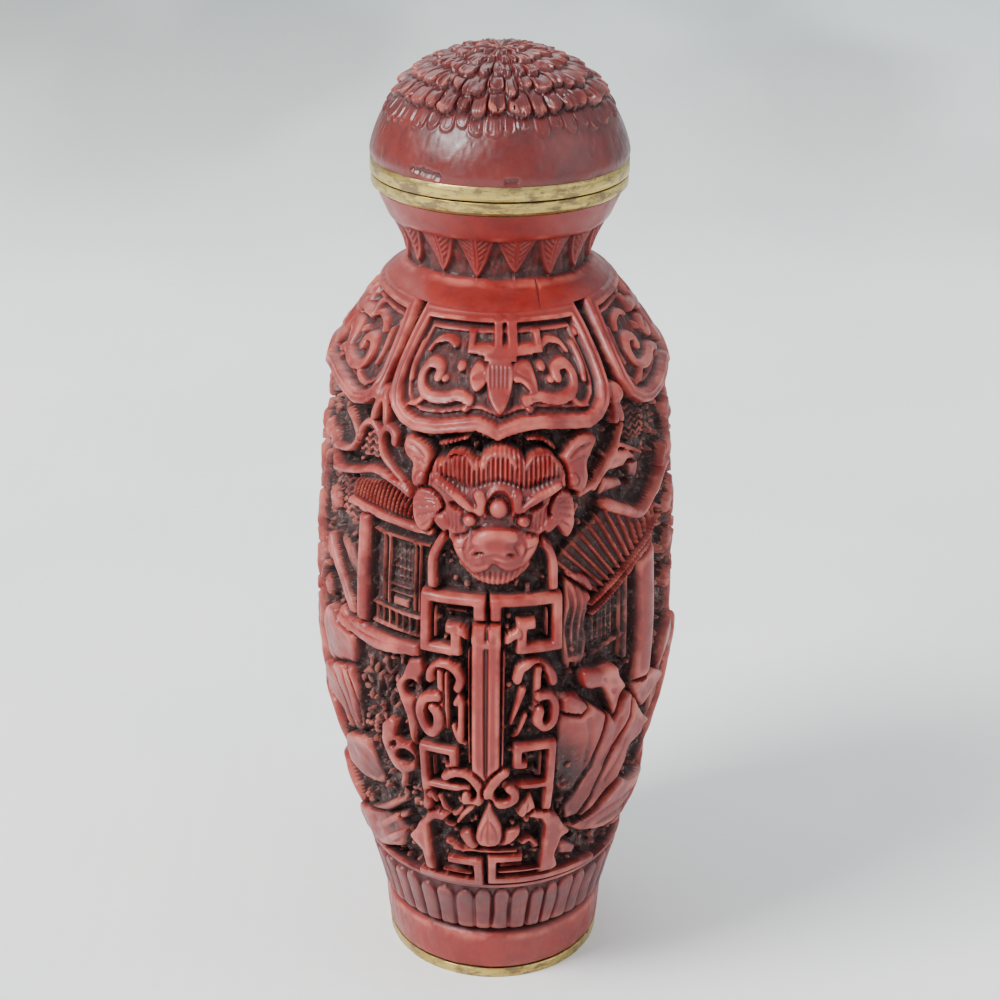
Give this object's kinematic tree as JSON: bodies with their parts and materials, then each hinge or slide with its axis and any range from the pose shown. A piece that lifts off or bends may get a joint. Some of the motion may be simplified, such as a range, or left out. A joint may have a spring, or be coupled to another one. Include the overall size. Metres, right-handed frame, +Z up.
{
  "type": "snuff bottle",
  "caption": "Carved red lacquer snuff bottle with an oval hollow body, a lion mask pendant, pavilion scenes, brass rims and a domed lid that lifts off.",
  "frame": {"origin": "centre of the foot on the surface the bottle stands on", "axes": "+Z up through the lid; the front, with its lion mask, faces -Y; +X to the right of the mask; the oval body is narrow along X and deep along Y"},
  "size_m": [0.0318, 0.0452, 0.08],
  "materials": {
    "red_lacquer": "carved red lacquer, worn satin on the tops, dark brown patina in the recesses",
    "lid_lacquer": "darker red lacquer with a glossier, handled surface",
    "brass_rims": "brushed brass with dark tarnish spots"
  },
  "bodies": {
    "root": {"carved_body": "red_lacquer", "foot_rim": "brass_rims", "mouth_rim": "brass_rims", "lid_rim": "brass_rims", "lid_dome": "lid_lacquer"}
  },
  "joints": []
}
